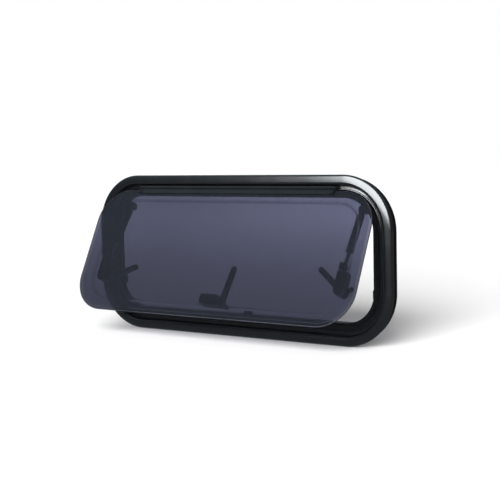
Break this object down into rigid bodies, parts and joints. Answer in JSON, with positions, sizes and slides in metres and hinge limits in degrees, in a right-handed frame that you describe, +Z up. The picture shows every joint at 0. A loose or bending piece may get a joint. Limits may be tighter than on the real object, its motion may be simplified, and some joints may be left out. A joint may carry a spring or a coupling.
{
  "type": "caravan window",
  "caption": "Top-hung caravan window with a crowned aluminium frame, a tinted double acrylic sash held open on telescopic stays, and lever latches.",
  "frame": {"origin": "on the flat rear face of the outer flange, at the middle of its lower strip, where the flange bears on the outside of the wall", "axes": "+X along the window to the right as seen from outside, +Y inwards through the wall, +Z up"},
  "size_m": [0.74, 0.1664, 0.34],
  "materials": {
    "coated_frame": "satin black powder coat on aluminium",
    "coated_rail": "satin black powder coat on aluminium",
    "seal_rubber": "extruded",
    "clamp_plastic": "fine moulded grain",
    "tinted_acrylic": "clear, tinted, polished",
    "tinted_acrylic_inner": "clear, tinted, formed",
    "stay_rod_metal": "drawn",
    "moulded_black": "moulded"
  },
  "bodies": {
    "frame": {"outer_frame": "coated_frame", "collar_bars": "coated_frame", "collar_end_left": "coated_frame", "collar_end_right": "coated_frame", "frame_seal": "seal_rubber", "hinge_socket_rail": "coated_rail", "clamp_bars": "clamp_plastic", "clamp_end_left": "clamp_plastic", "clamp_end_right": "clamp_plastic", "lining_bars": "clamp_plastic", "lining_end_left": "clamp_plastic", "lining_end_right": "clamp_plastic", "keeper_left": "moulded_black", "keeper_centre": "moulded_black", "keeper_right": "moulded_black", "stay_bracket_left": "moulded_black", "stay_bracket_right": "moulded_black", "stay_pin_left": "stay_rod_metal", "stay_pin_right": "stay_rod_metal"},
    "sash": {"outer_pane": "tinted_acrylic", "inner_pane": "tinted_acrylic_inner", "sash_hinge_rail": "coated_rail", "hinge_end_cap_left": "moulded_black", "hinge_end_cap_right": "moulded_black", "stay_shoe_left": "moulded_black", "stay_shoe_right": "moulded_black", "latch_base_left": "moulded_black", "latch_base_centre": "moulded_black", "latch_base_right": "moulded_black"},
    "tube_left": {"stay_tube_left": "moulded_black", "stay_eye_left": "moulded_black"},
    "tube_right": {"stay_tube_right": "moulded_black", "stay_eye_right": "moulded_black"},
    "rod_left": {"stay_rod_left": "stay_rod_metal"},
    "rod_right": {"stay_rod_right": "stay_rod_metal"},
    "lever_left": {"latch_lever_left": "moulded_black"},
    "lever_centre": {"latch_lever_centre": "moulded_black"},
    "lever_right": {"latch_lever_right": "moulded_black"}
  },
  "joints": [
    {"name": "sash_hinge", "type": "hinge", "parent": "frame", "child": "sash", "pos_m": [0, -0.007, 0.3039], "axis": [-1, 0, 0], "range_deg": [-27.2, 22.8]},
    {"name": "stay_left_swing", "type": "hinge", "parent": "sash", "child": "rod_left", "pos_m": [-0.29501, -0.05831, 0.15375], "axis": [-1, 0, 0], "range_deg": [-5.59, 4.85]},
    {"name": "stay_left_slide", "type": "slide", "parent": "rod_left", "child": "tube_left", "axis": [0, 0.5792, 0.8152], "range_m": [-0.0223, 0.0188]},
    {"name": "stay_right_swing", "type": "hinge", "parent": "sash", "child": "rod_right", "pos_m": [0.29501, -0.05831, 0.15375], "axis": [-1, 0, 0], "range_deg": [-5.59, 4.85]},
    {"name": "stay_right_slide", "type": "slide", "parent": "rod_right", "child": "tube_right", "axis": [0, 0.5792, 0.8152], "range_m": [-0.0223, 0.0188]},
    {"name": "latch_left_turn", "type": "hinge", "parent": "sash", "child": "lever_left", "pos_m": [-0.298, -0.07135, 0.10648], "axis": [0, 0.8894, -0.4571], "range_deg": [-46, 29]},
    {"name": "latch_centre_turn", "type": "hinge", "parent": "sash", "child": "lever_centre", "pos_m": [0.022, -0.08822, 0.07367], "axis": [0, -0.8894, 0.4571], "range_deg": [-63, 12]},
    {"name": "latch_right_turn", "type": "hinge", "parent": "sash", "child": "lever_right", "pos_m": [0.298, -0.07135, 0.10648], "axis": [0, -0.8894, 0.4571], "range_deg": [-33, 42]}
  ],
  "couplings": [
    {"joint": "stay_left_swing", "follows": "sash_hinge", "ratio": 0.1688},
    {"joint": "stay_left_slide", "follows": "sash_hinge", "m_per_rad": 0.0448},
    {"joint": "stay_right_swing", "follows": "sash_hinge", "ratio": 0.1688},
    {"joint": "stay_right_slide", "follows": "sash_hinge", "m_per_rad": 0.0448}
  ]
}
